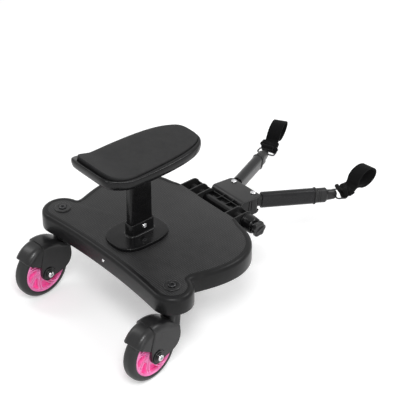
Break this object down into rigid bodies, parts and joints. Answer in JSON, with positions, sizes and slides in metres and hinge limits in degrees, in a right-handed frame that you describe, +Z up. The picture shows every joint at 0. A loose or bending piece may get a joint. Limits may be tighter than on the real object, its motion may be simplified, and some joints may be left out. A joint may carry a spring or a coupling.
{
  "type": "stroller ride-on seat",
  "caption": "Ride-on board with a small saddle on a post, two swivelling caster wheels with swirled rims, and a folding hub with two telescopic arms ending in strap loops.",
  "frame": {"origin": "middle of the underside of the bounding box, on the floor", "axes": "+Z up, +Y to the pushchair along the arms, +X to the right seen from behind"},
  "size_m": [0.373, 0.6246, 0.3376],
  "materials": {
    "black_plastic": "satin",
    "black_wire": "black",
    "bright_steel": "bright",
    "deck_plastic": "fine dotted grain on the top, satin sides",
    "fork_plastic": "satin",
    "pad_foam": "matt foam",
    "painted_tube": "black satin paint",
    "pink_plastic": "satin",
    "satin_black": "satin",
    "seat_plastic": "glossy",
    "tyre_rubber": "satin",
    "webbing": "woven"
  },
  "bodies": {
    "arm_left": {"arm_collar_left": "black_plastic", "arm_root_left": "black_plastic", "arm_tube_left": "painted_tube"},
    "arm_right": {"arm_collar_right": "black_plastic", "arm_root_right": "black_plastic", "arm_tube_right": "painted_tube"},
    "caster_left": {"axle_bolt_left": "bright_steel", "axle_nut_left": "bright_steel", "axle_washer_left": "fork_plastic", "fork_left": "fork_plastic"},
    "caster_right": {"axle_bolt_right": "bright_steel", "axle_nut_right": "bright_steel", "axle_washer_right": "fork_plastic", "fork_right": "fork_plastic"},
    "hub": {"cap_screw_left": "bright_steel", "cap_screw_right": "bright_steel", "hub_cap": "black_plastic", "hub_housing": "black_plastic"},
    "deck": {"caster_cap_left": "black_plastic", "caster_cap_right": "black_plastic", "collar_bolt": "bright_steel", "collar_nut": "bright_steel", "deck_shell": "deck_plastic", "flange_screw_1": "bright_steel", "flange_screw_2": "bright_steel", "flange_screw_3": "bright_steel", "flange_screw_4": "bright_steel", "hinge_axle": "bright_steel", "hinge_washer": "bright_steel", "kingpin_bolt_left": "bright_steel", "kingpin_bolt_right": "bright_steel", "lock_barrel": "satin_black", "seat_flange": "satin_black", "seat_pad": "pad_foam", "seat_post": "satin_black", "seat_screw_front": "bright_steel", "seat_screw_rear": "bright_steel", "seat_shell": "seat_plastic", "swivel_washer_left": "bright_steel", "swivel_washer_right": "bright_steel"},
    "slider_left": {"end_cap_left": "black_plastic", "inner_tube_left": "painted_tube"},
    "slider_right": {"end_cap_right": "black_plastic", "inner_tube_right": "painted_tube"},
    "knob": {"lock_knob": "satin_black"},
    "wheel_left": {"rim_left": "pink_plastic", "tyre_left": "tyre_rubber", "wheel_bearing_inner_left": "bright_steel", "wheel_bearing_outer_left": "bright_steel"},
    "wheel_right": {"rim_right": "pink_plastic", "tyre_right": "tyre_rubber", "wheel_bearing_inner_right": "bright_steel", "wheel_bearing_outer_right": "bright_steel"},
    "strap_left": {"strap_loop_left": "webbing", "strap_ring_left": "black_wire"},
    "strap_right": {"strap_loop_right": "webbing", "strap_ring_right": "black_wire"}
  },
  "joints": [
    {"name": "hub_fold", "type": "hinge", "parent": "deck", "child": "hub", "pos_m": [0, 0.03203, 0.13874], "axis": [1, 0, 0], "range_deg": [-20, 80]},
    {"name": "knob_turn", "type": "hinge", "parent": "deck", "child": "knob", "pos_m": [0, 0.03203, 0.13874], "axis": [1, 0, 0], "range_deg": [0, 360]},
    {"name": "caster_swivel_left", "type": "hinge", "parent": "deck", "child": "caster_left", "pos_m": [-0.15, -0.20297, -0.00026], "axis": [0, 0, 1], "continuous": true},
    {"name": "wheel_turn_left", "type": "hinge", "parent": "caster_left", "child": "wheel_left", "pos_m": [-0.14707, -0.25889, 0.05324], "axis": [0.9986, 0.0523, 0], "continuous": true},
    {"name": "arm_swing_left", "type": "hinge", "parent": "hub", "child": "arm_left", "pos_m": [-0.0254, 0.0917, 0.13247], "axis": [0, 0.1045, 0.9945], "range_deg": [-25, 6]},
    {"name": "arm_slide_left", "type": "slide", "parent": "arm_left", "child": "slider_left", "axis": [-0.4226, 0.9013, -0.0947], "range_m": [0, 0.055]},
    {"name": "strap_swing_left", "type": "hinge", "parent": "slider_left", "child": "strap_left", "pos_m": [-0.09272, 0.23513, 0.11589], "axis": [0.9063, 0.4203, -0.0442], "range_deg": [-40, 40]},
    {"name": "caster_swivel_right", "type": "hinge", "parent": "deck", "child": "caster_right", "pos_m": [0.15, -0.20297, -0.00026], "axis": [0, 0, 1], "continuous": true},
    {"name": "wheel_turn_right", "type": "hinge", "parent": "caster_right", "child": "wheel_right", "pos_m": [0.15585, -0.25866, 0.05324], "axis": [0.9945, 0.1045, 0], "continuous": true},
    {"name": "arm_swing_right", "type": "hinge", "parent": "hub", "child": "arm_right", "pos_m": [0.0254, 0.0917, 0.13247], "axis": [0, 0.1045, 0.9945], "range_deg": [-6, 25]},
    {"name": "arm_slide_right", "type": "slide", "parent": "arm_right", "child": "slider_right", "axis": [0.4226, 0.9013, -0.0947], "range_m": [0, 0.055]},
    {"name": "strap_swing_right", "type": "hinge", "parent": "slider_right", "child": "strap_right", "pos_m": [0.09272, 0.23513, 0.11589], "axis": [0.9063, -0.4203, 0.0442], "range_deg": [-40, 40]}
  ]
}
